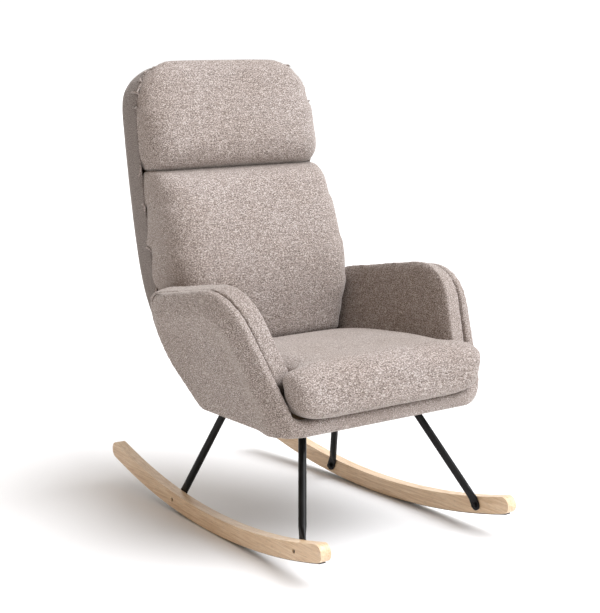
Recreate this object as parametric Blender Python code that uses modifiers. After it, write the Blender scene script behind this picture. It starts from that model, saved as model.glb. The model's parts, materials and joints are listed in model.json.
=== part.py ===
"""High-back rocking chair: upholstered tub, loose cushions, steel legs and beech rockers.

Metres, +Z up. The chair faces -Y, and the origin is on the floor, in the middle of the chair's
width and length. All lengths along Y below are from the line that the rockers rest on, and
CENTRE_SHIFT moves the finished pieces. Most pieces come in a left (-X) and a right (+X) version
made by one loop.
"""
import math

import bmesh
import bpy
from mathutils import Matrix, Vector

GAP = 0.0003                    # clearance between pieces that touch
CENTRE_SHIFT = Matrix.Translation((0, -0.0095, 0))
SIDES = {"left": -1, "right": 1}

# Rockers: arcs that roll on the floor, closer together at the rear. They are made of short flats,
# and the chair rests on the middle one, which lies level at z = 0.
ROLL_RADIUS = 1.740             # to the corners between the flats
FLAT_LENGTH = 0.039
ROLL_HEIGHT = ROLL_RADIUS * math.cos(FLAT_LENGTH / 2 / ROLL_RADIUS)     # height of the arc's centre
FLATS_EACH_WAY = 12             # enough for the whole arc
STRIP_THICKNESS = 0.0025
STRIP_WIDTH = 0.0155
STRIP_END = 0.018               # distance from the strip's ends to the rocker's tips
ROCKER_HEIGHT = 0.0395
ROCKER_THICKNESS = 0.0258
ROCKER_INNER_X = 0.2328
ROCKER_TOE = math.atan(0.0368)
ROCKER_REACH = {"front": -0.464, "rear": 0.484}    # arc length from the rest point to each tip
TIP_RADIUS = 0.0185
TIP_LENGTH = 0.0195             # straight end of the bar that carries the two rounds
EDGE_ROUND = 0.005
BOLT_ARC = {"front": -0.361, "rear": 0.168}

# Legs: round tube with its lower end pressed flat
TUBE_RADIUS = 0.009
LEG_TOP = {"front": (0.152, -0.2208), "rear": (0.155, 0.0495)}
PADDLE_HALF_WIDTH = 0.0125
PADDLE_THICKNESS = 0.005
PADDLE_LENGTH = 0.018           # flat stretch above the bolt
PRESS_LENGTH = 0.030            # change from round to flat
LEG_SIDES = 14

# Leg plates and the hardware
PLATE_SIZE = (0.062, 0.044, 0.003)
PLATE_Y = {"front": -0.2208, "rear": 0.0375}
SCREW_OFFSET = 0.022
SCREW_RADIUS = 0.0028
SCREW_HEAD_RADIUS = 0.006
SCREW_HEAD_HEIGHT = 0.0028
SCREW_LENGTH = 0.022
BOLT_RADIUS = 0.003
BOLT_HEAD_RADIUS = 0.0055
BOLT_HEAD_HEIGHT = 0.005
WASHER_RADIUS = 0.008
WASHER_THICKNESS = 0.0012
NUT_RADIUS = 0.0045
NUT_LENGTH = 0.012
NUT_SINK = 0.0030               # how deep the nut's face lies in the wood
BOLT_END = 0.006                # from the bolt's tip to the rocker's outer face
BOLT_CHAMFER = 0.0006
HEX_RADIUS = 0.0023
HEX_DEPTH = 0.0028

# Seat frame, from the underside up
PLATE_Z = 0.2912
COVER_Z = PLATE_Z + PLATE_SIZE[2] + GAP
COVER_THICKNESS = 0.0016
FRAME_Z = COVER_Z + COVER_THICKNESS + GAP
FRAME_HEIGHT = 0.028
WEB_THICKNESS = 0.002
WEB_WIDTH = 0.050
FRAME_HALF_WIDTH = 0.2420
SIDE_RAIL_WIDTH = 0.040
FRONT_RAIL_Y = (-0.3015, -0.2500)
CROSS_RAIL_Y = (-0.245, -0.195)
REAR_RAIL_Y = (0.012, 0.058)
REAR_HALF_WIDTH = 0.208
WEB_X = {"1": -0.135, "2": -0.045, "3": 0.045, "4": 0.135}

# Upholstered front rail
LIP_Y = (-0.337, -0.302)
LIP_Z = (0.291, 0.3265)

# Arms: panels that lean outward, described by corners (y, z, corner radius)
ARM_SLOPE = 0.235
ARM_LEAN = math.atan(ARM_SLOPE)
ARM_BASE = (0.263, 0.305)       # x and z of a point on the outer panel's middle plane
SHELL_THICKNESS = 0.034
SHELL_OUTLINE = (
    (0.012, 0.2915, 0.030),
    (0.126, 0.404, 0.200),
    (0.150, 0.534, 0.036),
    (-0.190, 0.596, 0.140),
    (-0.328, 0.338, 0.035),
    (-0.306, 0.2915, 0.022),
)
POCKET_INSET = 0.014
POCKET_DEPTH = 0.0135
BOARD_THICKNESS = 0.012
PAD_THICKNESS = 0.044
PAD_OUTLINE = (
    (0.108, 0.348, 0.012),
    (0.180, 0.440, 0.050),
    (0.187, 0.529, 0.055),
    (-0.193, 0.597, 0.130),
    (-0.290, 0.398, 0.030),
    (-0.240, 0.348, 0.020),
)
ARM_BOLT_Y = {"front": -0.160, "rear": -0.035}
ARM_BOLT_LENGTH = 0.053

# Seat cushion: stations (y, half width at mid height, underside z, top z), sides leaning as the arms
SEAT_MID_Z = 0.380
SEAT_STATIONS = (
    (-0.362, 0.228, 0.3440, 0.408),
    (-0.357, 0.245, 0.3340, 0.422),
    (-0.343, 0.256, 0.3290, 0.433),
    (-0.318, 0.259, 0.3290, 0.439),
    (-0.302, 0.258, 0.3290, 0.441),
    (-0.288, 0.2155, 0.3290, 0.441),
    (-0.180, 0.2155, 0.3290, 0.438),
    (-0.050, 0.2155, 0.3290, 0.427),
    (0.040, 0.2155, 0.3290, 0.413),
    (0.082, 0.2140, 0.3300, 0.404),
    (0.094, 0.2100, 0.3340, 0.396),
    (0.099, 0.2020, 0.3420, 0.386),
)

# Back: rear surface (z, y, half width), which curls under the seat and over the top
BACK_STATIONS = (
    (0.2935, 0.0660, 0.2150),
    (0.3100, 0.0890, 0.2240),
    (0.3400, 0.1310, 0.2350),
    (0.3700, 0.1710, 0.2420),
    (0.4100, 0.2270, 0.2460),
    (0.4600, 0.2760, 0.2470),
    (0.5300, 0.3160, 0.2480),
    (0.6200, 0.3420, 0.2480),
    (0.7200, 0.3630, 0.2480),
    (0.8100, 0.3790, 0.2480),
    (0.8900, 0.3910, 0.2480),
    (0.9500, 0.3990, 0.2480),
    (0.9850, 0.3970, 0.2430),
    (1.0120, 0.3830, 0.2300),
    (1.0320, 0.3610, 0.2130),
    (1.0430, 0.3340, 0.1960),
)
BACK_CROWN = 0.012
SHELL_WALL = 0.005
SHELL_DEPTH = 0.088             # how far the shell's side walls reach forward
SHELL_DEPTH_RISE = 0.220        # height over which they reach their full depth
BACK_BOARD = {"z": (0.450, 0.990), "depth": (0.009, 0.017)}     # bent board inside the shell
CUSHION_CLEARANCE = 0.002       # between the rim of the back shell and the cushions
RECESS_MARGIN = 0.034           # border left around the hollow rear of the back's cushions
RECESS_MIN_DEPTH = 0.012

# Lower back cushion: stations (z, front y, half width)
BACK_CUSHION_STATIONS = (
    (0.3860, 0.1230, 0.2120),
    (0.3950, 0.1100, 0.2185),
    (0.4100, 0.1025, 0.2225),
    (0.4500, 0.1010, 0.2320),
    (0.5100, 0.0970, 0.2460),
    (0.5650, 0.1010, 0.2510),
    (0.6200, 0.1160, 0.2510),
    (0.6800, 0.1400, 0.2495),
    (0.7300, 0.1650, 0.2480),
    (0.7650, 0.1840, 0.2470),
    (0.7850, 0.2040, 0.2440),
    (0.7960, 0.2230, 0.2360),
    (0.8000, 0.2450, 0.2250),
)
BACK_CUSHION_THICKNESS = 0.062
HEADREST_STATIONS = (
    (0.8060, 0.2700, 0.2250),
    (0.8110, 0.2440, 0.2360),
    (0.8250, 0.2270, 0.2450),
    (0.8550, 0.2210, 0.2480),
    (0.9100, 0.2370, 0.2480),
    (0.9600, 0.2580, 0.2450),
    (0.9850, 0.2720, 0.2400),
    (1.0120, 0.2830, 0.2270),
    (1.0320, 0.2930, 0.2100),
    (1.0430, 0.3000, 0.1940),
    (1.0530, 0.3080, 0.1740),
    (1.0595, 0.3180, 0.1400),
)
HEADREST_THICKNESS = 0.042

# Colour, roughness, metallic
FINISHES = {
    "fabric": ((0.46, 0.39, 0.35), 0.95, 0.0),
    "beech": ((0.72, 0.53, 0.36), 0.45, 0.0),
    "plywood": ((0.60, 0.44, 0.28), 0.70, 0.0),
    "black_steel": ((0.015, 0.015, 0.016), 0.40, 0.6),
    "zinc": ((0.55, 0.55, 0.55), 0.35, 1.0),
    "black_cloth": ((0.02, 0.02, 0.02), 0.95, 0.0),
    "rubber": ((0.02, 0.02, 0.02), 0.80, 0.0),
    "webbing": ((0.16, 0.15, 0.14), 0.90, 0.0),
}


def new_collection(name):
    collection = bpy.data.collections.new(name)
    bpy.context.scene.collection.children.link(collection)
    return collection


def make_finish(name, colour, roughness, metallic):
    finish = bpy.data.materials.new(name)
    finish.use_nodes = True
    shader = finish.node_tree.nodes["Principled BSDF"]
    shader.inputs["Base Color"].default_value = (*colour, 1.0)
    shader.inputs["Roughness"].default_value = roughness
    shader.inputs["Metallic"].default_value = metallic
    finish.diffuse_color = (*colour, 1.0)
    return finish


for old in list(bpy.data.objects):
    bpy.data.objects.remove(old, do_unlink=True)

PARTS = new_collection("rocking_chair")
CUTTERS = new_collection("cutters")
MATERIALS = {name: make_finish(name, *values) for name, values in FINISHES.items()}


# ---------------------------------------------------------------- tools

def add_part(name, mesh, finish, matrix=None, smooth=True):
    """Link a mesh as one named piece."""
    mesh.materials.clear()
    mesh.materials.append(MATERIALS[finish])
    if smooth:
        mesh.shade_smooth()
        mesh.set_sharp_from_angle(angle=math.radians(35))
    part = bpy.data.objects.new(name, mesh)
    part.matrix_world = CENTRE_SHIFT @ (matrix or Matrix.Identity(4))
    PARTS.objects.link(part)
    return part


def mesh_from(name, shape):
    """Close and orient a bmesh, and turn it into a mesh."""
    bmesh.ops.remove_doubles(shape, verts=shape.verts, dist=1e-6)
    bmesh.ops.recalc_face_normals(shape, faces=shape.faces)
    mesh = bpy.data.meshes.new(name)
    shape.to_mesh(mesh)
    shape.free()
    return mesh


def box_mesh(name, low, high):
    shape = bmesh.new()
    middle = [(a + b) / 2 for a, b in zip(low, high)]
    size = [b - a for a, b in zip(low, high)]
    bmesh.ops.create_cube(shape, size=1.0, matrix=Matrix.LocRotScale(middle, None, size))
    return mesh_from(name, shape)


def cylinder_mesh(name, radius, start, end, segments=20):
    """A cylinder along local Z from start to end."""
    shape = bmesh.new()
    middle = Matrix.Translation((0, 0, (start + end) / 2))
    bmesh.ops.create_cone(shape, cap_ends=True, segments=segments, radius1=radius,
                          radius2=radius, depth=end - start, matrix=middle)
    return mesh_from(name, shape)


def loft_mesh(name, rings):
    """A closed skin over rings that all have the same number of points."""
    shape = bmesh.new()
    rows = [[shape.verts.new(point) for point in ring] for ring in rings]
    count = len(rows[0])
    for lower, upper in zip(rows, rows[1:]):
        for i in range(count):
            j = (i + 1) % count
            shape.faces.new((lower[i], lower[j], upper[j], upper[i]))
    shape.faces.new(rows[0])
    shape.faces.new(rows[-1])
    return mesh_from(name, shape)


def arc_corner(before, corner, after, radius, steps=6):
    """Points of the round that replaces one corner of a polygon."""
    corner = Vector(corner)
    arm_in = (Vector(before) - corner).normalized()
    arm_out = (Vector(after) - corner).normalized()
    half = arm_in.angle(arm_out) / 2
    centre = corner + (arm_in + arm_out).normalized() * radius / math.sin(half)
    start = corner + arm_in * radius / math.tan(half) - centre
    end = corner + arm_out * radius / math.tan(half) - centre
    sweep = math.copysign(math.pi - 2 * half, start.cross(end))
    points = []
    for i in range(steps + 1):
        turn = Matrix.Rotation(sweep * i / steps, 2)
        points.append(centre + turn @ start)
    return points


def rounded(corners, steps=6):
    """The outline of a polygon whose corners are (u, v, radius)."""
    points = []
    for i, (u, v, radius) in enumerate(corners):
        before = corners[i - 1][:2]
        after = corners[(i + 1) % len(corners)][:2]
        points += arc_corner(before, (u, v), after, radius, steps)
    return points


def inset(corners, distance):
    """Move every side of a convex polygon inward."""
    middle = sum((Vector(c[:2]) for c in corners), Vector((0, 0))) / len(corners)
    lines = []
    for i, corner in enumerate(corners):
        start = Vector(corner[:2])
        along = (Vector(corners[(i + 1) % len(corners)][:2]) - start).normalized()
        normal = Vector((-along.y, along.x))
        if normal.dot(middle - start) < 0:
            normal = -normal
        lines.append((start + normal * distance, along))
    result = []
    for i, corner in enumerate(corners):
        (p, a), (q, b) = lines[i - 1], lines[i]
        t = (q - p).cross(b) / a.cross(b)
        meet = p + a * t
        result.append((meet.x, meet.y, max(corner[2] - distance, 0.004)))
    return result


def plate_mesh(name, outline, low, high):
    """A flat outline extruded along local Z from low to high."""
    curve = bpy.data.curves.new(name, "CURVE")
    curve.dimensions = "2D"
    curve.fill_mode = "BOTH"
    curve.extrude = (high - low) / 2
    spline = curve.splines.new("POLY")
    spline.points.add(len(outline) - 1)
    for point, (u, v) in zip(spline.points, outline):
        point.co = (u, v, 0, 1)
    spline.use_cyclic_u = True
    guide = bpy.data.objects.new(name, curve)
    bpy.context.scene.collection.objects.link(guide)
    evaluated = guide.evaluated_get(bpy.context.evaluated_depsgraph_get())
    flat = bpy.data.meshes.new_from_object(evaluated)
    bpy.data.objects.remove(guide)
    shape = bmesh.new()
    shape.from_mesh(flat)
    bmesh.ops.translate(shape, verts=shape.verts, vec=(0, 0, (low + high) / 2))
    return mesh_from(name, shape)


def bevel(part, width, segments=3, angle=40):
    modifier = part.modifiers.new("rounded edges", "BEVEL")
    modifier.width = width
    modifier.segments = segments
    modifier.limit_method = "ANGLE"
    modifier.angle_limit = math.radians(angle)
    return part


def add_cutter(name, mesh, matrix=None):
    cutter = bpy.data.objects.new(name, mesh)
    cutter.matrix_world = CENTRE_SHIFT @ (matrix or Matrix.Identity(4))
    cutter.hide_render = True
    cutter.display_type = "WIRE"
    CUTTERS.objects.link(cutter)
    return cutter


def cut(part, cutter):
    modifier = part.modifiers.new("cut " + cutter.name, "BOOLEAN")
    modifier.operation = "DIFFERENCE"
    modifier.object = cutter


def side_frame(side, origin, lean=0.0, toe=0.0):
    """Matrix of an upright plate: local X along the chair, Y up, Z outward.

    lean tips the top outward, and toe turns the rear inward. On the left side local X points
    to the front, so outlines are mirrored with mirror_outline.
    """
    along = Vector((-side * math.sin(toe), math.cos(toe), 0))
    up = Vector((side * math.sin(lean), 0, math.cos(lean)))
    along *= side
    frame = Matrix((along, up, along.cross(up))).transposed().to_4x4()
    frame.translation = (side * origin[0], origin[1], origin[2])
    return frame


def mirror_outline(points, side):
    return [(side * point[0], point[1]) for point in points]


def power(value, exponent):
    return math.copysign(abs(value) ** exponent, value)


def superellipse(count, exponent):
    """Unit points of a square with soft corners: the higher the exponent, the squarer."""
    points = []
    for i in range(count):
        angle = 2 * math.pi * (i + 0.5) / count
        points.append((power(math.cos(angle), 2 / exponent),
                       power(math.sin(angle), 2 / exponent)))
    return points


def between(stations, position, column):
    """Read one column of a station table at any position, linearly."""
    for low, high in zip(stations, stations[1:]):
        if low[0] <= position <= high[0]:
            share = (position - low[0]) / (high[0] - low[0])
            return low[column] + (high[column] - low[column]) * share
    return stations[0][column] if position < stations[0][0] else stations[-1][column]


# ---------------------------------------------------------------- rockers

def rocker_point(arc, drop):
    """(u, v) at an arc length from the rest line, drop above the rolling arc."""
    angle = arc / ROLL_RADIUS
    radius = ROLL_RADIUS - drop
    return (radius * math.sin(angle), ROLL_HEIGHT - radius * math.cos(angle))


def arc_points(first, last, drop):
    """Points from first to last, with a corner at every half flat from the rest line."""
    corners = [(i + 0.5) * FLAT_LENGTH for i in range(-FLATS_EACH_WAY, FLATS_EACH_WAY)]
    inner = [arc for arc in corners if min(first, last) < arc < max(first, last)]
    if first > last:
        inner.reverse()
    return [rocker_point(arc, drop) for arc in (first, *inner, last)]


def bar_outline(low, high, radius):
    """A bar bent along the rolling arc, with rounded ends."""
    front, rear = ROCKER_REACH["front"], ROCKER_REACH["rear"]
    front_flat = front + TIP_LENGTH
    rear_flat = rear - TIP_LENGTH
    outline = arc_points(front_flat, rear_flat, low)
    for flat, tip, first, second in ((rear_flat, rear, low, high), (front_flat, front, high, low)):
        outline += arc_corner(rocker_point(flat, first), rocker_point(tip, first),
                              rocker_point(tip, second), radius)
        outline += arc_corner(rocker_point(tip, first), rocker_point(tip, second),
                              rocker_point(flat, second), radius)
        if first == low:
            outline += arc_points(rear_flat, front_flat, high)
    return outline


def bolt_place(side, end):
    """Frame at a rocker bolt: Z outward, origin on the rocker's inner face."""
    drop = STRIP_THICKNESS + ROCKER_HEIGHT / 2
    along, up = rocker_point(BOLT_ARC[end], drop)
    frame = side_frame(side, (ROCKER_INNER_X, 0, 0), toe=ROCKER_TOE)
    return frame @ Matrix.Translation((side * along, up, 0))


def make_rocker(name, side):
    frame = side_frame(side, (ROCKER_INNER_X, 0, 0), toe=ROCKER_TOE)
    low = STRIP_THICKNESS + GAP
    outline = bar_outline(low, STRIP_THICKNESS + ROCKER_HEIGHT, TIP_RADIUS)
    mesh = plate_mesh("rocker_" + name, mirror_outline(outline, side), 0, ROCKER_THICKNESS)
    rocker = bevel(add_part("rocker_" + name, mesh, "beech", frame), EDGE_ROUND)
    for end in BOLT_ARC:
        place = bolt_place(side, end)
        hole = cylinder_mesh("hole", BOLT_RADIUS + GAP, -0.01, 0.04, 16)
        cut(rocker, add_cutter(f"hole_{end}_{name}", hole, place))
        bore_start = ROCKER_THICKNESS - NUT_LENGTH - NUT_SINK
        bore = cylinder_mesh("bore", NUT_RADIUS + GAP, bore_start, 0.04)
        cut(rocker, add_cutter(f"bore_{end}_{name}", bore, place))

    front = ROCKER_REACH["front"] + STRIP_END
    rear = ROCKER_REACH["rear"] - STRIP_END
    strip = arc_points(front, rear, 0) + arc_points(rear, front, STRIP_THICKNESS)
    middle = ROCKER_THICKNESS / 2
    mesh = plate_mesh("glide_strip_" + name, mirror_outline(strip, side),
                      middle - STRIP_WIDTH / 2, middle + STRIP_WIDTH / 2)
    add_part("glide_strip_" + name, mesh, "rubber", frame, smooth=False)


# ---------------------------------------------------------------- legs

def leg_ring(centre, across, normal, half_width, half_thickness, squareness):
    return [centre + across * (u * half_width) + normal * (v * half_thickness)
            for u, v in superellipse(LEG_SIDES, squareness)]


def make_leg(name, side, end):
    """Tube from the leg plate down to a paddle that lies on the rocker's inner face."""
    place = bolt_place(side, end)
    outward = place.to_3x3() @ Vector((0, 0, 1))
    foot = place.translation - outward * (PADDLE_THICKNESS / 2 + GAP)
    top = Vector((side * LEG_TOP[end][0], LEG_TOP[end][1], PLATE_Z - GAP))
    down = (foot - top).normalized()
    flat_down = (down - outward * down.dot(outward)).normalized()
    ankle = foot - flat_down * PADDLE_LENGTH
    tube_axis = (ankle - top).normalized()
    neck = ankle - tube_axis * PRESS_LENGTH
    across = tube_axis.cross(outward).normalized()
    normal = across.cross(tube_axis).normalized()

    # The top ring is cut level, so that it meets the plate.
    level = []
    for point in leg_ring(top, across, normal, TUBE_RADIUS, TUBE_RADIUS, 2):
        level.append(point - tube_axis * ((point.z - top.z) / tube_axis.z))
    rings = [level, leg_ring(neck, across, normal, TUBE_RADIUS, TUBE_RADIUS, 2)]
    flat_across = flat_down.cross(outward).normalized()
    thin = PADDLE_THICKNESS / 2
    for share in (0.35, 0.7):
        width = TUBE_RADIUS + (PADDLE_HALF_WIDTH - TUBE_RADIUS) * share
        depth = TUBE_RADIUS + (thin - TUBE_RADIUS) * share
        rings.append(leg_ring(neck.lerp(ankle, share), across, normal, width, depth, 2 + share))
    for distance in (0.0, PADDLE_LENGTH):
        centre = ankle + flat_down * distance
        rings.append(leg_ring(centre, flat_across, outward, PADDLE_HALF_WIDTH, thin, 5))
    for angle in (30, 55, 75):
        reach = math.sin(math.radians(angle)) * PADDLE_HALF_WIDTH
        width = math.cos(math.radians(angle)) * PADDLE_HALF_WIDTH
        rings.append(leg_ring(foot + flat_down * reach, flat_across, outward, width, thin, 5))
    leg = add_part(f"leg_{end}_{name}", loft_mesh("leg", rings), "black_steel")
    hole = cylinder_mesh("hole", BOLT_RADIUS + GAP, -0.02, 0.01)
    cut(leg, add_cutter(f"leg_hole_{end}_{name}", hole, place))


def make_rocker_bolt(name, side, end):
    """Socket-head bolt, its washer, and the sleeve nut sunk in the rocker's outer face."""
    place = bolt_place(side, end)
    washer_low = -(PADDLE_THICKNESS + 2 * GAP) - WASHER_THICKNESS
    head_top = washer_low - GAP
    head_end = head_top - BOLT_HEAD_HEIGHT
    tip = ROCKER_THICKNESS - BOLT_END
    profile = ((0, head_end), (BOLT_HEAD_RADIUS - BOLT_CHAMFER, head_end),
               (BOLT_HEAD_RADIUS, head_end + BOLT_CHAMFER), (BOLT_HEAD_RADIUS, head_top),
               (BOLT_RADIUS, head_top), (BOLT_RADIUS, tip - BOLT_CHAMFER),
               (BOLT_RADIUS - BOLT_CHAMFER, tip), (0, tip))
    bolt = turned_part(f"rocker_bolt_{end}_{name}", profile, "black_steel", place)
    socket = cylinder_mesh("socket", HEX_RADIUS, head_end - GAP, head_end + HEX_DEPTH, 6)
    cut(bolt, add_cutter(f"socket_{end}_{name}", socket, place))

    washer = ((BOLT_RADIUS + GAP, washer_low), (WASHER_RADIUS, washer_low),
              (WASHER_RADIUS, washer_low + WASHER_THICKNESS - GAP),
              (BOLT_RADIUS + GAP, washer_low + WASHER_THICKNESS - GAP))
    turned_part(f"bolt_washer_{end}_{name}", washer, "black_steel", place, ring=True)

    face = ROCKER_THICKNESS - NUT_SINK
    inner = face - NUT_LENGTH + GAP
    bore = BOLT_RADIUS + GAP
    bore_end = tip + 2 * GAP
    profile = ((bore, inner), (NUT_RADIUS, inner), (NUT_RADIUS, face), (0, face),
               (0, bore_end), (bore, bore_end))
    nut = turned_part(f"sleeve_nut_{end}_{name}", profile, "black_steel", place)
    socket = cylinder_mesh("socket", HEX_RADIUS, face - HEX_DEPTH / 2, ROCKER_THICKNESS, 6)
    cut(nut, add_cutter(f"nut_socket_{end}_{name}", socket, place))


def turned_part(name, profile, finish, matrix, ring=False, steps=20):
    """Turn a (radius, height) profile about local Z; it starts and ends on the axis, or is a ring."""
    shape = bmesh.new()
    verts = [shape.verts.new((radius, 0, height)) for radius, height in profile]
    edges = [shape.edges.new(pair) for pair in zip(verts, verts[1:])]
    if ring or profile[0][0] > 0:
        edges.append(shape.edges.new((verts[-1], verts[0])))
    bmesh.ops.spin(shape, geom=verts + edges, axis=(0, 0, 1), cent=(0, 0, 0),
                   angle=2 * math.pi, steps=steps, use_merge=True, use_duplicate=False)
    return add_part(name, mesh_from(name, shape), finish, matrix)


# ---------------------------------------------------------------- seat frame

def rails():
    """Every wooden rail of the seat frame: name, low corner, high corner."""
    side_low = FRAME_HALF_WIDTH - SIDE_RAIL_WIDTH
    start = FRONT_RAIL_Y[1] + GAP
    end = REAR_RAIL_Y[0] - GAP
    return {
        "seat_rail_front": ((-FRAME_HALF_WIDTH, FRONT_RAIL_Y[0]), (FRAME_HALF_WIDTH, FRONT_RAIL_Y[1])),
        "seat_rail_cross": ((-side_low + GAP, CROSS_RAIL_Y[0]), (side_low - GAP, CROSS_RAIL_Y[1])),
        "seat_rail_rear": ((-REAR_HALF_WIDTH, REAR_RAIL_Y[0]), (REAR_HALF_WIDTH, REAR_RAIL_Y[1])),
        "seat_rail_left": ((-FRAME_HALF_WIDTH, start), (-side_low, end)),
        "seat_rail_right": ((side_low, start), (FRAME_HALF_WIDTH, end)),
    }


def make_seat_frame():
    frame = {}
    for name, (low, high) in rails().items():
        mesh = box_mesh(name, (*low, FRAME_Z), (*high, FRAME_Z + FRAME_HEIGHT))
        frame[name] = add_part(name, mesh, "plywood", smooth=False)

    web_z = FRAME_Z + FRAME_HEIGHT + GAP
    for name, x in WEB_X.items():
        low = (x - WEB_WIDTH / 2, FRONT_RAIL_Y[0] + 0.010, web_z)
        high = (x + WEB_WIDTH / 2, REAR_RAIL_Y[1] - 0.010, web_z + WEB_THICKNESS)
        add_part("webbing_" + name, box_mesh("webbing", low, high), "webbing", smooth=False)

    step = REAR_RAIL_Y[0] - 0.004
    wide = FRAME_HALF_WIDTH - 0.008
    outline = ((-wide, FRONT_RAIL_Y[0]), (wide, FRONT_RAIL_Y[0]), (wide, step), (REAR_HALF_WIDTH, step),
               (REAR_HALF_WIDTH, REAR_RAIL_Y[1]), (-REAR_HALF_WIDTH, REAR_RAIL_Y[1]),
               (-REAR_HALF_WIDTH, step), (-wide, step))
    mesh = plate_mesh("dust_cover", outline, COVER_Z, COVER_Z + COVER_THICKNESS)
    cover = add_part("dust_cover", mesh, "black_cloth", smooth=False)
    return frame, cover


def make_leg_plate(name, side, end, frame, cover):
    """Steel plate on top of a leg, and the two screws that hold it up to its rail."""
    x = side * LEG_TOP[end][0]
    width, depth, thickness = PLATE_SIZE
    low = (x - width / 2, PLATE_Y[end] - depth / 2, PLATE_Z)
    high = (x + width / 2, PLATE_Y[end] + depth / 2, PLATE_Z + thickness)
    plate = add_part(f"leg_plate_{end}_{name}", box_mesh("plate", low, high), "black_steel", smooth=False)
    rail = frame["seat_rail_cross" if end == "front" else "seat_rail_rear"]
    for number, offset in (("1", -SCREW_OFFSET), ("2", SCREW_OFFSET)):
        place = Matrix.Translation((x + offset, PLATE_Y[end], PLATE_Z))
        label = f"{end}_{name}_{number}"
        hole = cylinder_mesh("hole", SCREW_RADIUS + GAP, -0.01, SCREW_LENGTH + GAP, 16)
        cutter = add_cutter("screw_hole_" + label, hole, place)
        for part in (plate, cover, rail):
            cut(part, cutter)
        rim = -GAP - SCREW_HEAD_HEIGHT
        profile = ((0, rim), (SCREW_HEAD_RADIUS * 0.55, rim), (SCREW_HEAD_RADIUS, -GAP - 0.0008),
                   (SCREW_HEAD_RADIUS, -GAP), (SCREW_RADIUS, -GAP), (SCREW_RADIUS, SCREW_LENGTH - 0.003),
                   (0, SCREW_LENGTH))
        screw = turned_part("leg_screw_" + label, profile, "zinc", place, steps=16)
        socket = cylinder_mesh("socket", HEX_RADIUS * 0.8, rim - 0.002, rim + 0.0015, 6)
        cut(screw, add_cutter("screw_socket_" + label, socket, place))


# ---------------------------------------------------------------- arms

def arm_height(z):
    """Distance along the leaning arm plane for a height in the room."""
    return (z - ARM_BASE[1]) / math.cos(ARM_LEAN)


def arm_outline(corners):
    return [(y, arm_height(z), radius) for y, z, radius in corners]


def make_arm(name, side, frame):
    place = side_frame(side, (ARM_BASE[0], 0, ARM_BASE[1]), lean=ARM_LEAN)
    half = SHELL_THICKNESS / 2
    outer = arm_outline(SHELL_OUTLINE)
    mesh = plate_mesh("arm_shell", mirror_outline(rounded(outer), side), -half, half)
    shell = bevel(add_part("arm_shell_" + name, mesh, "fabric", place), 0.013)

    pocket_floor = -half + POCKET_DEPTH
    hollow = mirror_outline(rounded(inset(outer, POCKET_INSET), 4), side)
    pocket = plate_mesh("pocket", hollow, -half - 0.01, pocket_floor)
    cut(shell, add_cutter("pocket_" + name, pocket, place))

    outline = mirror_outline(rounded(inset(outer, POCKET_INSET + 0.001), 4), side)
    high = pocket_floor - GAP
    mesh = plate_mesh("arm_board", outline, high - BOARD_THICKNESS, high)
    board = add_part("arm_board_" + name, mesh, "plywood", place, smooth=False)

    pad_high = -half - GAP
    outline = mirror_outline(rounded(arm_outline(PAD_OUTLINE)), side)
    mesh = plate_mesh("arm_pad", outline, pad_high - PAD_THICKNESS, pad_high)
    bevel(add_part("arm_pad_" + name, mesh, "fabric", place), 0.018)

    rail_inner = FRAME_HALF_WIDTH - SIDE_RAIL_WIDTH
    for end, y in ARM_BOLT_Y.items():
        axis = side_frame(side, (rail_inner, y, FRAME_Z + FRAME_HEIGHT / 2 + 0.003))
        hole = cylinder_mesh("hole", BOLT_RADIUS + GAP, -0.01, 0.070, 16)
        cutter = add_cutter(f"arm_hole_{end}_{name}", hole, axis)
        cut(frame["seat_rail_" + name], cutter)
        cut(board, cutter)
        profile = ((0, -GAP - 0.004), (BOLT_HEAD_RADIUS, -GAP - 0.004), (BOLT_HEAD_RADIUS, -GAP),
                   (BOLT_RADIUS, -GAP), (BOLT_RADIUS, ARM_BOLT_LENGTH - 0.002), (0, ARM_BOLT_LENGTH))
        turned_part(f"arm_bolt_{end}_{name}", profile, "zinc", axis, steps=16)


# ---------------------------------------------------------------- soft pieces

def make_front_rail():
    low = (-FRAME_HALF_WIDTH, LIP_Y[0], LIP_Z[0])
    high = (FRAME_HALF_WIDTH, LIP_Y[1], LIP_Z[1])
    bevel(add_part("front_rail", box_mesh("front_rail", low, high), "fabric"), 0.012)


def make_seat_cushion():
    rings = []
    for y, half_width, low, high in SEAT_STATIONS:
        middle = (low + high) / 2
        ring = []
        for u, v in superellipse(20, 5):
            z = middle + v * (high - low) / 2
            x = u * (half_width + ARM_SLOPE * (z - SEAT_MID_Z))
            ring.append(Vector((x, y, z)))
        rings.append(ring)
    add_part("seat_cushion", loft_mesh("seat_cushion", rings), "fabric")


def back_y(z):
    return between(BACK_STATIONS, z, 1)


def upright_cushion(name, stations, thickness):
    """A cushion between its front table and the back shell's rim, hollow behind its padding."""
    rings = []
    hollow = []
    for z, front, half_width in stations:
        rear = max(back_y(z) - shell_depth(z) - CUSHION_CLEARANCE, front + 0.006)
        middle = (front + rear) / 2
        rings.append([Vector((u * half_width, middle + v * (rear - front) / 2, z))
                      for u, v in superellipse(20, 5)])
        inside = stations[0][0] + RECESS_MARGIN < z < stations[-1][0] - RECESS_MARGIN
        if inside and rear - front - thickness > RECESS_MIN_DEPTH:
            wide = half_width - RECESS_MARGIN
            hollow.append([Vector(point) for point in (
                (-wide, front + thickness, z), (wide, front + thickness, z),
                (wide, rear + 0.05, z), (-wide, rear + 0.05, z))])
    cushion = add_part(name, loft_mesh(name, rings), "fabric")
    cut(cushion, add_cutter("recess_" + name, loft_mesh("recess", hollow)))


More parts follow.
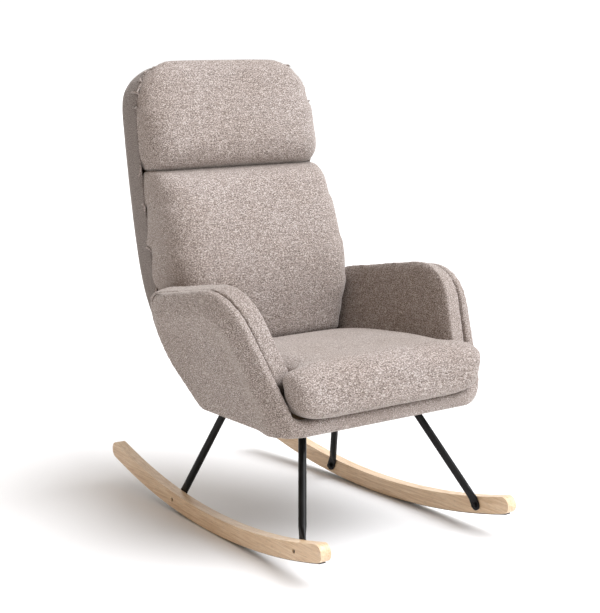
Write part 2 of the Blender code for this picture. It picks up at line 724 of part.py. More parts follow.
def make_back_board():
    """A bent plywood sheet inside the back shell, at a fixed depth in front of its rear surface."""
    rear, front = BACK_BOARD["depth"]
    rings = []
    for z, y, half_width in BACK_STATIONS:
        if not BACK_BOARD["z"][0] < z < BACK_BOARD["z"][1]:
            continue
        wide = half_width - 0.024
        rings.append([Vector(point) for point in ((-wide, y - front, z), (wide, y - front, z),
                                                  (wide, y - rear, z), (-wide, y - rear, z))])
    add_part("back_board", loft_mesh("back_board", rings), "plywood", smooth=False)


def shell_depth(z):
    """Depth of the shell's side walls: shallow where it curls under the seat and at the top."""
    low = 0.008 + (SHELL_DEPTH - 0.008) * min((z - BACK_STATIONS[0][0]) / SHELL_DEPTH_RISE, 1)
    high = (BACK_STATIONS[-1][0] - z) / 0.045
    return low * min(1, 0.25 + 0.75 * high)


def make_back_shell():
    """An open tray: level U-shaped sections, given their wall by Solidify."""
    shape = bmesh.new()
    rows = []
    for z, y, half_width in BACK_STATIONS:
        depth = shell_depth(z)
        radius = min(0.030, depth * 0.7)
        section = [(half_width, -depth), (half_width, -(depth + radius) / 2)]
        for angle in (0, 30, 60, 90):
            turn = math.radians(angle)
            section.append((half_width - radius + radius * math.cos(turn),
                            -radius + radius * math.sin(turn)))
        for share in (0.66, 0.33):
            x = (half_width - radius) * share
            section.append((x, BACK_CROWN * (1 - share ** 2)))
        section.append((0, BACK_CROWN))
        section += [(-x, d) for x, d in reversed(section[:-1])]
        rows.append([shape.verts.new((x, y + d, z)) for x, d in section])
    for lower, upper in zip(rows, rows[1:]):
        for i in range(len(lower) - 1):
            shape.faces.new((lower[i], lower[i + 1], upper[i + 1], upper[i]))
    shell = add_part("back_shell", mesh_from("back_shell", shape), "fabric")
    wall = shell.modifiers.new("wall", "SOLIDIFY")
    wall.thickness = SHELL_WALL
    wall.offset = -1
    wall.use_even_offset = True


# ---------------------------------------------------------------- assembly

seat_frame, dust_cover = make_seat_frame()
for side_name, sign in SIDES.items():
    make_rocker(side_name, sign)
    for leg_end in BOLT_ARC:
        make_leg(side_name, sign, leg_end)
        make_rocker_bolt(side_name, sign, leg_end)
        make_leg_plate(side_name, sign, leg_end, seat_frame, dust_cover)
    make_arm(side_name, sign, seat_frame)
make_front_rail()
make_seat_cushion()
make_back_shell()
make_back_board()
upright_cushion("back_cushion", BACK_CUSHION_STATIONS, BACK_CUSHION_THICKNESS)
upright_cushion("headrest_cushion", HEADREST_STATIONS, HEADREST_THICKNESS)
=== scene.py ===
"""Looks of the rocking chair: stuffed fabric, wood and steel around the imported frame.

Metres, +Z up, the chair faces -Y. The cushions and arm pads start from their CAD solids, are
remeshed, and are blown up by a short cloth simulation. The outer shell of the arms, the back shell
and its welt are shaped without one. Rigid CAD nodes stay, with better materials.
"""
import json
import math

import bmesh
import bpy
import numpy as np
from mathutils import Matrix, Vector
from mathutils.kdtree import KDTree


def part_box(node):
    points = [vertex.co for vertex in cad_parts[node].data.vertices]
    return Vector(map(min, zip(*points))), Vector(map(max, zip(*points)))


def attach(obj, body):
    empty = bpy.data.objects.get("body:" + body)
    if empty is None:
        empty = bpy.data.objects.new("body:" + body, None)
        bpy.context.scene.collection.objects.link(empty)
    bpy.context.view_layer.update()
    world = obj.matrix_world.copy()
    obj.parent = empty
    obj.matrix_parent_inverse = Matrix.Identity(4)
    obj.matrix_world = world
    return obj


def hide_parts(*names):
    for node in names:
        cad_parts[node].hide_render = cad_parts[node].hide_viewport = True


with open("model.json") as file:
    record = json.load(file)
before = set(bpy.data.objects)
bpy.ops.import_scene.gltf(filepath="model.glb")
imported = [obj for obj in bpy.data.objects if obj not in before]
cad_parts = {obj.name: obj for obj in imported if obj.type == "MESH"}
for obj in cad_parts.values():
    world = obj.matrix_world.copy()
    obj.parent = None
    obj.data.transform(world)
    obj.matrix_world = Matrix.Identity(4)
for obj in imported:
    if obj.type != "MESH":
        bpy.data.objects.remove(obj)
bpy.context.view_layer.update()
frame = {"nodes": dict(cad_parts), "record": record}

NODES = frame["nodes"]
SIDES = {"left": -1, "right": 1}
SCENE = bpy.context.scene

# Camera: the lens and the place that give the picture's perspective, with no shift
CAMERA_PLACE = (-1.9677, -2.6968, 1.1230)
CAMERA_PITCH = math.radians(79.33)
CAMERA_TURN = math.radians(-36.264)
FOCAL_LENGTH = 85.30
SENSOR_HEIGHT = 36.0

# Arms lean outward by this angle
ARM_LEAN = math.atan(0.235)


# ---------------------------------------------------------------- materials

class Nodes:
    """A short way to write a material's node tree."""

    def __init__(self, name, roughness, metallic=0.0):
        self.material = bpy.data.materials.new(name)
        self.material.use_nodes = True
        self.tree = self.material.node_tree
        self.shader = self.tree.nodes["Principled BSDF"]
        self.set(self.shader, {"Roughness": roughness, "Metallic": metallic})
        self.place = self.add("ShaderNodeTexCoord").outputs["Object"]

    def set(self, node, values):
        for name, value in values.items():
            socket = node.inputs[name]
            if isinstance(value, bpy.types.NodeSocket):
                self.tree.links.new(value, socket)
            else:
                socket.default_value = value
        return node

    def add(self, kind, values=None, **settings):
        node = self.tree.nodes.new(kind)
        for name, value in settings.items():
            setattr(node, name, value)
        return self.set(node, values or {})

    def scaled(self, scale):
        """The object's own coordinates, stretched along each axis."""
        return self.add("ShaderNodeMapping", {"Vector": self.place, "Scale": scale}).outputs[0]

    def noise(self, scale, detail=2.0, rough=0.5, distortion=0.0):
        """Noise with its own frequency along each axis, from 0 to 1."""
        values = {"Vector": self.scaled(scale), "Scale": 1.0, "Detail": detail,
                  "Roughness": rough, "Distortion": distortion}
        return self.add("ShaderNodeTexNoise", values).outputs["Fac"]

    def math(self, operation, first, second=0.0):
        return self.add("ShaderNodeMath", {0: first, 1: second}, operation=operation).outputs[0]

    def ramp(self, factor, *stops):
        """Colour ramp; a stop is (position, colour or grey)."""
        node = self.add("ShaderNodeValToRGB", {"Fac": factor})
        elements = node.color_ramp.elements
        while len(elements) < len(stops):
            elements.new(0.5)
        for element, (position, colour) in zip(elements, stops):
            element.position = position
            rgb = colour if isinstance(colour, tuple) else (colour,) * 3
            element.color = (*rgb, 1.0)
        return node.outputs["Color"]

    def mix(self, factor, first, second, blend="MIX"):
        node = self.add("ShaderNodeMix", data_type="RGBA", blend_type=blend)
        for index, value in ((0, factor), (6, first), (7, second)):
            if isinstance(value, bpy.types.NodeSocket):
                self.tree.links.new(value, node.inputs[index])
            else:
                node.inputs[index].default_value = value if index == 0 else (*value, 1.0)
        return node.outputs[2]

    def bump(self, height, strength, distance, below=None):
        values = {"Height": height, "Strength": strength, "Distance": distance}
        if below:
            values["Normal"] = below
        return self.add("ShaderNodeBump", values).outputs[0]

    def finish(self, colour, normal=None, roughness=None):
        self.set(self.shader, {"Base Color": colour})
        if normal:
            self.set(self.shader, {"Normal": normal})
        if roughness:
            self.set(self.shader, {"Roughness": roughness})
        return self.material


# Chenille colours, dark fleck to light fleck
FLECK_DARK = (0.040, 0.026, 0.018)
YARN_DARK = (0.160, 0.125, 0.106)
YARN_MID = (0.318, 0.270, 0.244)
YARN_LIGHT = (0.500, 0.449, 0.420)
FLECK_LIGHT = (0.880, 0.830, 0.800)
THREADS_PER_METRE = 520
FLECKS = (560, 1.8)             # frequency, and how much longer than thick each one is
SLUBS = (430, 9.0)
NAP = (900, 1.5)


def make_fabric(name, along, painted_shade=1.0):
    """Speckled chenille; along is the axis (0 or 1) that its yarn runs in."""
    n = Nodes(name, 0.92)

    def stretched(frequency, length):
        scale = [frequency] * 3
        scale[along] = frequency / length
        return tuple(scale)

    fleck = n.noise(stretched(*FLECKS), detail=4.0, rough=0.75, distortion=0.2)
    colour = n.ramp(fleck, (0.31, FLECK_DARK), (0.43, YARN_DARK), (0.51, YARN_MID),
                    (0.585, YARN_LIGHT), (0.70, FLECK_LIGHT))
    slub = n.noise(stretched(*SLUBS), detail=2.0, rough=0.6)
    colour = n.mix(0.40, colour, n.ramp(slub, (0.34, 0.58), (0.5, 0.98), (0.66, 1.34)), "MULTIPLY")
    patch = n.noise((7.0, 7.0, 7.0), detail=2.0)
    colour = n.mix(1.0, colour, n.ramp(patch, (0.35, (0.95, 0.93, 0.92)), (0.65, (1.04, 1.04, 1.05))),
                   "MULTIPLY")
    # Painted shade: the whole colour is multiplied by this factor, 1 for cloth with no painted shade.
    colour = n.mix(1.0, colour, (painted_shade, painted_shade, painted_shade), "MULTIPLY")

    # Plain weave: rows along the yarn and short floats across it.
    split = n.add("ShaderNodeSeparateXYZ", {"Vector": n.place})
    run = split.outputs[along]
    rise = n.math("ADD", split.outputs[1 - along], split.outputs[2])
    turn = math.pi * THREADS_PER_METRE
    warp = n.math("SINE", n.math("MULTIPLY", run, turn))
    weft = n.math("SINE", n.math("MULTIPLY", rise, turn))
    weave = n.math("MULTIPLY", warp, weft)
    nap = n.noise(stretched(*NAP), detail=2.0, rough=0.6)
    normal = n.bump(weave, 0.35, 0.0004)
    normal = n.bump(nap, 0.5, 0.0007, normal)
    normal = n.bump(slub, 0.35, 0.0012, normal)
    n.set(n.shader, {"Sheen Weight": 0.45, "Sheen Roughness": 0.45,
                     "Sheen Tint": (0.93, 0.89, 0.85, 1.0), "Specular IOR Level": 0.15})
    return n.finish(colour, normal)


def make_beech():
    n = Nodes("beech_oiled", 0.42)
    grain = n.noise((230, 7, 230), detail=4.0, rough=0.6, distortion=0.6)
    colour = n.ramp(grain, (0.30, (0.60, 0.405, 0.235)), (0.50, (0.745, 0.550, 0.360)),
                    (0.72, (0.86, 0.690, 0.500)))
    fleck = n.noise((900, 60, 900), detail=1.0)
    colour = n.mix(1.0, colour, n.ramp(fleck, (0.30, 0.80), (0.42, 1.0)), "MULTIPLY")
    broad = n.noise((14, 2.5, 14), detail=2.0)
    colour = n.mix(1.0, colour, n.ramp(broad, (0.3, (0.93, 0.90, 0.86)), (0.7, (1.05, 1.04, 1.03))),
                   "MULTIPLY")
    roughness = n.ramp(grain, (0.3, 0.50), (0.7, 0.38))
    normal = n.bump(grain, 0.20, 0.0003)
    n.set(n.shader, {"Coat Weight": 0.30, "Coat Roughness": 0.30})
    return n.finish(colour, normal, roughness)


def make_black_steel():
    n = Nodes("black_powder_coat", 0.36)
    speck = n.noise((1600, 1600, 1600), detail=1.0)
    cloud = n.noise((30, 30, 30), detail=2.0)
    colour = n.ramp(cloud, (0.3, (0.005, 0.005, 0.005)), (0.7, (0.010, 0.010, 0.010)))
    roughness = n.ramp(speck, (0.3, 0.30), (0.7, 0.44))
    n.set(n.shader, {"Coat Weight": 0.12, "Coat Roughness": 0.08, "Specular IOR Level": 0.12})
    return n.finish(colour, n.bump(speck, 0.25, 0.0001), roughness)


def make_zinc():
    n = Nodes("zinc_plate", 0.35, 0.95)
    spangle = n.noise((420, 420, 420), detail=2.0)
    colour = n.ramp(spangle, (0.35, (0.42, 0.42, 0.43)), (0.65, (0.62, 0.62, 0.60)))
    roughness = n.ramp(spangle, (0.3, 0.28), (0.7, 0.46))
    return n.finish(colour, n.bump(spangle, 0.15, 0.0001), roughness)


def make_rubber():
    n = Nodes("black_rubber", 0.82)
    grit = n.noise((1300, 1300, 1300), detail=2.0)
    dust = n.noise((45, 45, 45), detail=3.0)
    colour = n.ramp(dust, (0.4, (0.017, 0.017, 0.018)), (0.75, (0.040, 0.038, 0.036)))
    return n.finish(colour, n.bump(grit, 0.4, 0.0003), n.ramp(dust, (0.4, 0.74), (0.7, 0.92)))


def make_plywood():
    n = Nodes("birch_plywood", 0.68)
    split = n.add("ShaderNodeSeparateXYZ", {"Vector": n.place})
    layer = n.math("SINE", n.math("MULTIPLY", split.outputs[2], 2 * math.pi / 0.0032))
    grain = n.noise((25, 260, 260), detail=3.0, rough=0.6)
    colour = n.ramp(grain, (0.3, (0.46, 0.31, 0.17)), (0.7, (0.66, 0.49, 0.31)))
    colour = n.mix(0.35, colour, n.ramp(layer, (0.0, 0.6), (1.0, 1.0)), "MULTIPLY")
    return n.finish(colour, n.bump(grain, 0.3, 0.0003))


def make_black_cloth():
    """Bonded dust-cover cloth with its grid of pressed dots."""
    n = Nodes("bonded_cloth", 0.94)
    dots = n.add("ShaderNodeTexVoronoi", {"Vector": n.place, "Scale": 620.0}, feature="F1")
    fibre = n.noise((500, 500, 500), detail=3.0)
    colour = n.ramp(fibre, (0.35, (0.013, 0.013, 0.014)), (0.7, (0.040, 0.040, 0.041)))
    normal = n.bump(dots.outputs["Distance"], 0.5, 0.0005)
    return n.finish(colour, normal)


def make_webbing():
    n = Nodes("elastic_webbing", 0.88)
    split = n.add("ShaderNodeSeparateXYZ", {"Vector": n.place})
    rib = n.math("SINE", n.math("MULTIPLY", split.outputs[0], 2 * math.pi / 0.0025))
    pick = n.math("SINE", n.math("MULTIPLY", split.outputs[1], 2 * math.pi / 0.0016))
    weave = n.math("MULTIPLY", rib, pick)
    colour = n.ramp(weave, (0.2, (0.10, 0.09, 0.08)), (0.8, (0.20, 0.185, 0.17)))
    return n.finish(colour, n.bump(weave, 0.6, 0.0005))


FABRIC_X = make_fabric("chenille_across", 0)
FABRIC_Y = make_fabric("chenille_along", 1)
# The back shell's cloth carries painted shade: its whole colour is darkened to 0.62, standing in for
# the shade on its side walls.
FABRIC_BACK_PAINTED_SHADE = make_fabric("chenille_back_painted_shade", 0, painted_shade=0.62)
FINISHES = {
    "beech": make_beech(),
    "plywood": make_plywood(),
    "black_steel": make_black_steel(),
    "zinc": make_zinc(),
    "black_cloth": make_black_cloth(),
    "rubber": make_rubber(),
    "webbing": make_webbing(),
}
for row in frame["record"]["subparts"]:
    if row["material_slot"] in FINISHES:
        NODES[row["node"]].data.materials.clear()
        NODES[row["node"]].data.materials.append(FINISHES[row["material_slot"]])


# ---------------------------------------------------------------- mesh tools

def new_piece(name, mesh, material, nodes):
    """A fabric piece that stands for CAD nodes and rides on the chair."""
    piece = bpy.data.objects.new(name, mesh)
    SCENE.collection.objects.link(piece)
    mesh.materials.clear()
    mesh.materials.append(material)
    mesh.shade_smooth()
    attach(piece, "root")
    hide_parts(*nodes)
    return piece


def copy_of(*names):
    """One bmesh with the welded meshes of these CAD nodes."""
    shape = bmesh.new()
    for name in names:
        shape.from_mesh(NODES[name].data)
    bmesh.ops.remove_doubles(shape, verts=shape.verts, dist=1e-5)
    return shape


def to_mesh(name, shape):
    mesh = bpy.data.meshes.new(name)
    shape.to_mesh(mesh)
    shape.free()
    return mesh


def apply_modifiers(piece):
    evaluated = piece.evaluated_get(bpy.context.evaluated_depsgraph_get())
    mesh = bpy.data.meshes.new_from_object(evaluated)
    piece.modifiers.clear()
    piece.data = mesh
    mesh.shade_smooth()


def add_modifier(piece, kind, **settings):
    modifier = piece.modifiers.new(kind.lower(), kind)
    for name, value in settings.items():
        setattr(modifier, name, value)
    return modifier


def coordinates(mesh):
    values = np.empty(len(mesh.vertices) * 3, np.float32)
    mesh.vertices.foreach_get("co", values)
    return values.reshape(-1, 3).astype(float)


def normals(mesh):
    values = np.empty(len(mesh.vertices) * 3, np.float32)
    mesh.vertices.foreach_get("normal", values)
    return values.reshape(-1, 3).astype(float)


def move_to(mesh, points):
    mesh.vertices.foreach_set("co", np.asarray(points, np.float32).ravel())
    mesh.update()


def even_skin(piece, voxel, smooth, shrink=0.0):
    """Rebuild the skin in small even faces, round it off, and draw it in by shrink."""
    add_modifier(piece, "REMESH", mode="VOXEL", voxel_size=voxel)
    add_modifier(piece, "SMOOTH", factor=0.5, iterations=smooth)
    apply_modifiers(piece)
    if shrink:
        move_to(piece.data, coordinates(piece.data) - shrink * normals(piece.data))


def spread(mesh, values, rounds):
    """Average a value with its neighbours', so that it changes slowly over the skin."""
    ends = np.empty(len(mesh.edges) * 2, np.int32)
    mesh.edges.foreach_get("vertices", ends)
    first, second = ends.reshape(-1, 2).T
    count = np.bincount(ends, minlength=len(values))
    for _ in range(rounds):
        total = np.bincount(first, values[second], len(values))
        total += np.bincount(second, values[first], len(values))
        values = (values + total / count) / 2
    return values


CLOTH_FRAMES = 20
CLOTH_PRESSURE = 4.0
PULL_IN = 0.002                 # the furthest that stuffing may draw the skin inward
SPREAD_ROUNDS = 20


def stuff(piece, cap, free=None):
    """Blow the piece up as stuffing does: the skin moves along its normals, outward up to cap.

    free is a function that gives the share of its movement that each point keeps.
    """
    start = coordinates(piece.data)
    outward = normals(piece.data)
    cloth = add_modifier(piece, "CLOTH")
    settings = cloth.settings
    settings.quality = 4
    settings.mass = 0.25
    settings.tension_stiffness = 12
    settings.compression_stiffness = 12
    settings.shear_stiffness = 6
    settings.bending_stiffness = 0.6
    settings.use_pressure = True
    settings.uniform_pressure_force = CLOTH_PRESSURE
    settings.effector_weights.gravity = 0
    cloth.collision_settings.use_collision = False
    for number in range(1, CLOTH_FRAMES + 1):
        SCENE.frame_set(number)
    end = coordinates(piece.evaluated_get(bpy.context.evaluated_depsgraph_get()).data)
    piece.modifiers.clear()
    SCENE.frame_set(1)
    moved = np.maximum(np.sum((end - start) * outward, axis=1), -PULL_IN)
    moved = spread(piece.data, cap * np.tanh(moved / cap), SPREAD_ROUNDS)
    if free:
        moved *= free(start)
    move_to(piece.data, start + moved[:, None] * outward)


def subdivide(piece, smooth=2):
    add_modifier(piece, "SMOOTH", factor=0.5, iterations=smooth)
    add_modifier(piece, "SUBSURF", levels=1, render_levels=1)
    apply_modifiers(piece)


def nearest(points, line):
    """Distance from each point to a line of closely spaced points."""
    tree = KDTree(len(line))
    for index, point in enumerate(line):
        tree.insert(point, index)
    tree.balance()
    return np.array([tree.find(point)[2] for point in points])


def filled_line(corners, step=0.0015):
    """Closely spaced points on straight lines between corners."""
    line = []
    for start, end in zip(corners, corners[1:]):
        start, end = Vector(start), Vector(end)
        count = max(int((end - start).length / step), 1)
        line += [start.lerp(end, i / count) for i in range(count)]
    return line + [Vector(corners[-1])]


def soft_line(corners, step=0.002):
    """Closely spaced points on a smooth curve through the corners (Catmull-Rom)."""
    p = [Vector(c) for c in corners]
    p = [p[0] * 2 - p[1]] + p + [p[-1] * 2 - p[-2]]
    line = []
    for a, b, c, d in zip(p, p[1:], p[2:], p[3:]):
        count = max(int((c - b).length / step), 2)
        for i in range(count):
            t = i / count
            line.append(0.5 * (2 * b + (c - a) * t + (2 * a - 5 * b + 4 * c - d) * t * t
                               + (3 * b - a - 3 * c + d) * t ** 3))
    return line + [p[-2]]


def smoothstep(low, high, value):
    share = np.clip((value - low) / (high - low), 0.0, 1.0)
    return share * share * (3 - 2 * share)


# ---------------------------------------------------------------- cushions

def power(value, exponent):
    return math.copysign(abs(value) ** exponent, value)


def soft_square(count, across, deep):
    """Unit points of a square with soft corners: the higher an exponent, the flatter that way."""
    points = []
    for i in range(count):
        angle = 2 * math.pi * (i + 0.5) / count
        points.append((power(math.cos(angle), 2 / across), power(math.sin(angle), 2 / deep)))
    return points


def rings_of(node, axis):
    """The level sections of a lofted CAD cushion: {level: points}, in order."""
    rings = {}
    for vertex in NODES[node].data.vertices:
        rings.setdefault(round(vertex.co[axis], 4), []).append(vertex.co.copy())
    return {level: points for level, points in sorted(rings.items()) if len(points) > 19}


def loft(name, rings):
    """A closed skin over rings that all have the same number of points."""
    shape = bmesh.new()
    rows = [[shape.verts.new(point) for point in ring] for ring in rings]
    count = len(rows[0])
    for lower, upper in zip(rows, rows[1:]):
        for i in range(count):
            j = (i + 1) % count
            shape.faces.new((lower[i], lower[j], upper[j], upper[i]))
    shape.faces.new(rows[0])
    shape.faces.new(rows[-1])
    bmesh.ops.recalc_face_normals(shape, faces=shape.faces)
    return to_mesh(name, shape)


GROW_SKIN = -0.001              # a shrink below zero: the skin moves out
LOFT_STEP = 0.004               # between the sections of a smooth loft
SECTION_POINTS = 120


def fill_cushion(name, node, mesh, voxel, smooth, shrink, cap, material, free=None):
    """Turn a plain skin into a stuffed cushion that stands for a CAD node."""
    piece = new_piece(name, mesh, material, [node])
    even_skin(piece, voxel, smooth, shrink)
    stuff(piece, cap, free)
    subdivide(piece)


def make_seat_cushion():
    rings = rings_of("seat_cushion", 1)
    table = []
    for y, points in rings.items():
        low = min(p.z for p in points)
        high = max(p.z for p in points)
        middle = (low + high) / 2
        above = max(p.x for p in points if p.z > middle)
        below = max(p.x for p in points if p.z < middle)
        table.append((y, (above + below) / 2, low, high))
    lows = [row[2] for row in table]
    highs = [row[3] for row in table]
    places = [row[0] for row in table]
    sections = []
    for point in soft_line([(y, half, high) for y, half, low, high in table], LOFT_STEP):
        low = float(np.interp(point.x, places, lows))
        high = max(point.z, low + 0.01)
        middle = (low + high) / 2
        slope = math.tan(ARM_LEAN)
        section = []
        for u, v in soft_square(SECTION_POINTS, 6, 6):
            z = middle + v * (high - low) / 2
            section.append(Vector((u * (point.y + slope * (z - middle)), point.x, z)))
        sections.append(section)
    mesh = loft("seat_cushion_soft", sections)
    fill_cushion("seat_cushion_soft", "seat_cushion", mesh, voxel=0.006, smooth=14, shrink=GROW_SKIN,
                 cap=0.005, material=FABRIC_X)


CROWN = 0.006                   # how far the middle of a back cushion stands out
TUCK = 0.016                    # how far the back's cushions reach inside the shell
TUCK_NARROWER = 0.014           # share of their width that they lose there
TUCK_START = 0.004              # where that begins, before the rim
TUCK_RUN = 0.006                # depth over which it happens
SEAM_NARROWER = 0.008           # the least that a cushion narrows towards the seam between the two
FREE_DEPTH = 0.030              # distance from the rim at which stuffing has its full effect


def rim_y(z):
    """Front edge of the back shell's side walls at a height."""
    return float(np.interp(z, RIM_LEVELS, RIM_PLACES))


def before_rim(points):
    """Share of the stuffing's movement: none at the back shell's rim, all of it well before."""
    return smoothstep(0.0, FREE_DEPTH, np.interp(points[:, 2], RIM_LEVELS, RIM_PLACES) - points[:, 1])


def make_back_cushion(name, node, voxel, cap, grow):
    """A cushion of the back: its sides end in the shell's rim, and it reaches a little way inside.

    grow is how much the bottom and the top move outward, to close the crease beside it. The
    cushion stays wide at the end that grows more.
    """
    table = []
    for z, points in rings_of(node, 2).items():
        table.append((z, min(p.y for p in points), max(p.x for p in points)))
    low, high = table[0][0], table[-1][0]
    widest = max(row[2] for row in table)
    sections = []
    for point in soft_line(table, LOFT_STEP):
        share = (point.x - low) / (high - low)
        seam = share if grow[1] > grow[0] else 1 - share
        wide = max(point.z, widest - SEAM_NARROWER) if seam > 0.5 else point.z
        z = point.x - grow[0] * (1 - share) ** 4 + grow[1] * share ** 4
        rim = rim_y(point.x)
        rear = rim + TUCK
        middle = (point.y + rear) / 2
        section = []
        for u, v in soft_square(SECTION_POINTS, 14, 3):
            y = middle + v * (rear - point.y) / 2 + (CROWN * u * u if v < 0 else 0)
            inside = min(max((y - rim + TUCK_START) / TUCK_RUN, 0), 1)
            x = u * wide * (1 - TUCK_NARROWER * inside)
            section.append(Vector((x, y, z)))
        sections.append(section)
    fill_cushion(name, node, loft(name, sections), voxel, smooth=5, shrink=GROW_SKIN, cap=cap,
                 material=FABRIC_X, free=before_rim)


# ---------------------------------------------------------------- outer shell of arms and front rail

ROLL_WIDTH = 0.052              # padded edge of the arm panels
ROLL_DROP = 0.014               # how far the roll falls away towards its edge
PANEL_PRESS = 0.0085            # how deep the flat part of the panel lies below the roll's crest
REAR_END = 0.050                # how far the flat part reaches from the arm's rear edge
OUTER_SIDE = (-0.004, 0.014)    # distance from the arm's middle plane where shaping fades in


def hull_mesh(points):
    shape = bmesh.new()
    verts = [shape.verts.new(c) for c in points]
    bmesh.ops.remove_doubles(shape, verts=verts, dist=1e-5)
    result = bmesh.ops.convex_hull(shape, input=shape.verts[:])
    loose = {v for v in result["geom_interior"] + result["geom_unused"]
             if isinstance(v, bmesh.types.BMVert)}
    bmesh.ops.delete(shape, geom=list(loose), context="VERTS")
    return to_mesh("hull", shape)


def arm_axes(sign):
    """The arm plane's upward and outward directions."""
    up = Vector((sign * math.sin(ARM_LEAN), 0, math.cos(ARM_LEAN)))
    out = Vector((sign * math.cos(ARM_LEAN), 0, -math.sin(ARM_LEAN)))
    return up, out


def arm_outline(points, up):
    """Outline of an arm in its own plane, as corners (y, height), anticlockwise."""
    flat = sorted({(round(p.y, 4), round(p.dot(up), 4)) for p in points})
    chains = []
    for order in (flat, flat[::-1]):
        chain = []
        for p in order:
            while len(chain) > 1:
                (ax, ay), (bx, by) = chain[-2:]
                if (bx - ax) * (p[1] - ay) - (by - ay) * (p[0] - ax) > 0:
                    break
                chain.pop()
            chain.append(p)
        chains.append(chain[:-1])
    return chains[0] + chains[1]


def shape_arm(piece, sign, points):
    """Give one arm of the shell its padded roll along the top and front, and a flatter panel."""
    up, out = arm_axes(sign)
    middle = sum(p.dot(out) for p in (min(points, key=lambda q: q.dot(out)),
                                      max(points, key=lambda q: q.dot(out)))) / 2
    outline = arm_outline(points, up)
    roll = []
    rear = []
    for a, b in zip(outline, outline[1:] + outline[:1]):
        start, end = Vector((*a, 0)), Vector((*b, 0))
        normal = Vector((end.y - start.y, start.x - end.x, 0)).normalized()
        if normal.dot(Vector((-0.6, 0.8, 0))) > 0.15:
            roll += filled_line((start, end), 0.003)
        if normal.x > 0.5:
            rear += filled_line((start, end), 0.003)
    skin = coordinates(piece.data)
    away = skin @ np.array(out) - middle
    flat = np.column_stack((skin[:, 1], skin @ np.array(up), np.zeros(len(skin))))
    chosen = np.nonzero((skin[:, 0] * sign > 0) & (away > OUTER_SIDE[0]))[0]
    from_roll = nearest(flat[chosen], roll)
    share = 1 - np.clip(from_roll / ROLL_WIDTH, 0, 1)
    press = ROLL_DROP * share ** 1.4
    panel = smoothstep(ROLL_WIDTH * 0.75, ROLL_WIDTH * 2.0, from_roll)
    rear_end = 1 - smoothstep(0.0, REAR_END, nearest(flat[chosen], rear))
    press += PANEL_PRESS * np.maximum(panel, rear_end)
    press *= smoothstep(*OUTER_SIDE, away[chosen])
    skin[chosen] -= press[:, None] * np.array(out)
    move_to(piece.data, skin)


def make_outer_shell():
    """Both arm panels and the rail between them, as one continuous covered piece."""
    rail_low, rail_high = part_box("front_rail")
    rail = [v.co.copy() for v in NODES["front_rail"].data.vertices]
    arms = {sign: [v.co.copy() for v in NODES["arm_shell_" + name].data.vertices]
            for name, sign in SIDES.items()}
    solids = [rail, *arms.values()]
    for sign, arm in arms.items():
        near_arm = [c for c in arm if c.z < rail_high.z + 0.012 and c.y < rail_high.y + 0.012]
        near_rail = [c for c in rail if c.x * sign > rail_high.x - 0.024]
        solids.append(near_arm + near_rail)
    whole = bmesh.new()
    for points in solids:
        whole.from_mesh(hull_mesh(points))
    nodes = ["arm_shell_left", "arm_shell_right", "front_rail"]
    piece = new_piece("outer_shell_soft", to_mesh("outer_shell_soft", whole), FABRIC_Y, nodes)
    even_skin(piece, voxel=0.004, smooth=8, shrink=GROW_SKIN)
    for sign, arm in arms.items():
        shape_arm(piece, sign, arm)
    subdivide(piece)


PAD_REACH = 0.012               # how far the stuffed pads squeeze back beside the back cushion
PAD_REAR = (-0.05, 0.10)        # y where that begins and where it is complete


def make_arm_pad(name):
    node = "arm_pad_" + name
    mesh = to_mesh(node + "_soft", copy_of(node))
    points = coordinates(mesh)
    points[:, 1] += PAD_REACH * smoothstep(*PAD_REAR, points[:, 1])
    move_to(mesh, points)
    fill_cushion(node + "_soft", node, mesh, voxel=0.005, smooth=8, shrink=0.001, cap=0.003,
                 material=FABRIC_Y)


# ---------------------------------------------------------------- back shell and its welt

WELT_RADIUS = 0.0024
WELT_CROWN = 0.012              # how far the welt bows back over the top of the shell
SEAM_HEIGHT = 0.690             # level seam round the back shell
SEAM_DEPTH = 0.0012
SEAM_HALF_WIDTH = 0.0022


def shell_rim():
    """Left half of the back shell's front edge, from its lower end up."""
    levels = {}
    for vertex in NODES["back_shell"].data.vertices:
        if vertex.co.x < 0:
            levels.setdefault(round(vertex.co.z, 4), []).append(vertex.co.copy())
    rim = []
    for level in sorted(levels):
        front = min(levels[level], key=lambda p: p.y)
        widest = min(p.x for p in levels[level])
        if len(levels[level]) > 6 and front.x < widest + 0.001:
            rim.append(front)
    return rim


def tube(name, line, radius, material, sides=10):
    """A round tube along a line of points."""
    rings = []
    side = Vector((0, 0, 1))
    for i, point in enumerate(line):
        along = (line[min(i + 1, len(line) - 1)] - line[max(i - 1, 0)]).normalized()
        side = (side - along * side.dot(along)).normalized()
        other = along.cross(side)
        rings.append([point + (side * math.cos(a) + other * math.sin(a)) * radius
                      for a in (2 * math.pi * k / sides for k in range(sides))])
    piece = bpy.data.objects.new(name, loft(name, rings))
    SCENE.collection.objects.link(piece)
    piece.data.materials.append(material)
    piece.data.shade_smooth()
    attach(piece, "root")


def make_back_shell():
    mesh = to_mesh("back_shell_soft", copy_of("back_shell"))
    piece = new_piece("back_shell_soft", mesh, FABRIC_BACK_PAINTED_SHADE, ["back_shell"])
    add_modifier(piece, "SUBSURF", levels=3, render_levels=3)
    apply_modifiers(piece)
    points = coordinates(piece.data)
    distance = np.abs(points[:, 2] - SEAM_HEIGHT)
    press = SEAM_DEPTH * np.exp(-(distance / SEAM_HALF_WIDTH) ** 2)
    move_to(piece.data, points - press[:, None] * normals(piece.data))


def make_back_welt():
    half = shell_rim()
    top = half[-1]
    crown = [Vector((top.x * share, top.y + WELT_CROWN * (1 - share ** 2), top.z))
             for share in (0.6, 0.2)]
    left = half + crown
    line = soft_line(left + [Vector((-p.x, p.y, p.z)) for p in reversed(left)], LOFT_STEP)
    tube("back_welt", line, WELT_RADIUS, FABRIC_X)


RIM = shell_rim()
RIM_LEVELS = [p.z for p in RIM]
RIM_PLACES = [p.y for p in RIM]

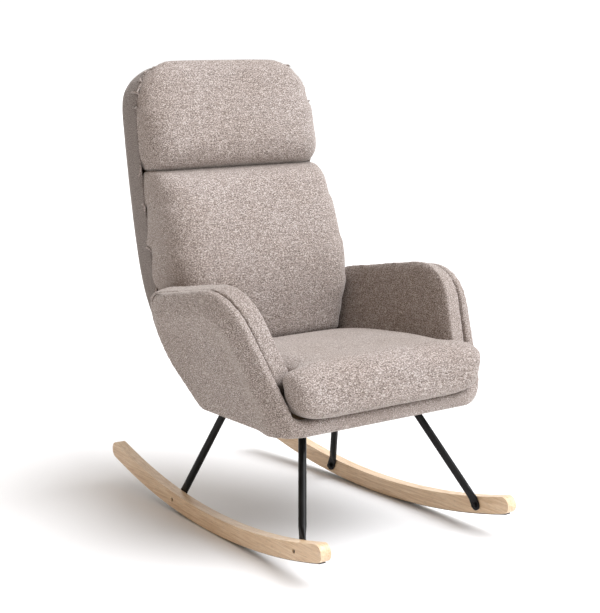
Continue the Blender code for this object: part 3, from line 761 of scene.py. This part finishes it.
make_outer_shell()
make_back_shell()
make_back_welt()
make_seat_cushion()
make_back_cushion("back_cushion_soft", "back_cushion", voxel=0.006, cap=0.004, grow=(0.0, 0.0025))
make_back_cushion("headrest_cushion_soft", "headrest_cushion", voxel=0.005, cap=0.004,
                  grow=(0.0015, 0.0))
for side_name in SIDES:
    make_arm_pad(side_name)


# ---------------------------------------------------------------- room, light and camera

KEY_FROM = (0.36, -0.44, 0.82)  # a wide soft light above the chair's right front
KEY_STRENGTH = 3.7
KEY_SPREAD = 50                 # degrees
KEY_COLOUR = (0.975, 0.99, 1.03)
DARK_SIDE = (0.30, 0.22, 0.15)     # surrounding light from the chair's left
BRIGHT_SIDE = (1.03, 1.03, 1.03)    # and from its right
SIDE_RANGE = (-0.75, 0.38)      # x of the directions where the one gives way to the other


def make_floor():
    shape = bmesh.new()
    bmesh.ops.create_circle(shape, cap_ends=True, segments=64, radius=30.0)
    floor = bpy.data.objects.new("floor", to_mesh("floor", shape))
    SCENE.collection.objects.link(floor)
    n = Nodes("white_floor", 0.9)
    tone = n.noise((0.8, 0.8, 0.8), detail=1.0)
    floor.data.materials.append(n.finish(n.ramp(tone, (0.3, 0.88), (0.7, 0.90))))


def make_studio():
    world = bpy.data.worlds.new("studio")
    SCENE.world = world
    world.use_nodes = True
    tree = world.node_tree
    place = tree.nodes.new("ShaderNodeTexCoord")
    split = tree.nodes.new("ShaderNodeSeparateXYZ")
    share = tree.nodes.new("ShaderNodeMapRange")
    share.inputs["From Min"].default_value = SIDE_RANGE[0]
    share.inputs["From Max"].default_value = SIDE_RANGE[1]
    tint = tree.nodes.new("ShaderNodeMix")
    tint.data_type = "RGBA"
    tint.inputs[6].default_value = (*DARK_SIDE, 1.0)
    tint.inputs[7].default_value = (*BRIGHT_SIDE, 1.0)
    tree.links.new(place.outputs["Generated"], split.inputs[0])
    tree.links.new(split.outputs[0], share.inputs["Value"])
    tree.links.new(share.outputs[0], tint.inputs[0])
    tree.links.new(tint.outputs[2], tree.nodes["Background"].inputs["Color"])
    tree.nodes["Background"].inputs["Strength"].default_value = 1.0

    sun = bpy.data.lights.new("key", "SUN")
    sun.energy = KEY_STRENGTH
    sun.angle = math.radians(KEY_SPREAD)
    sun.color = KEY_COLOUR
    lamp = bpy.data.objects.new("key", sun)
    lamp.rotation_euler = (-Vector(KEY_FROM)).to_track_quat("-Z", "Y").to_euler()
    SCENE.collection.objects.link(lamp)
    SCENE.view_settings.view_transform = "Standard"
    SCENE.view_settings.look = "None"


def make_camera():
    data = bpy.data.cameras.new("camera")
    data.sensor_fit = "VERTICAL"
    data.sensor_height = SENSOR_HEIGHT
    data.lens = FOCAL_LENGTH
    camera = bpy.data.objects.new("camera", data)
    camera.location = CAMERA_PLACE
    camera.rotation_euler = (CAMERA_PITCH, 0.0, CAMERA_TURN)
    SCENE.collection.objects.link(camera)
    SCENE.camera = camera


make_floor()
make_studio()
make_camera()
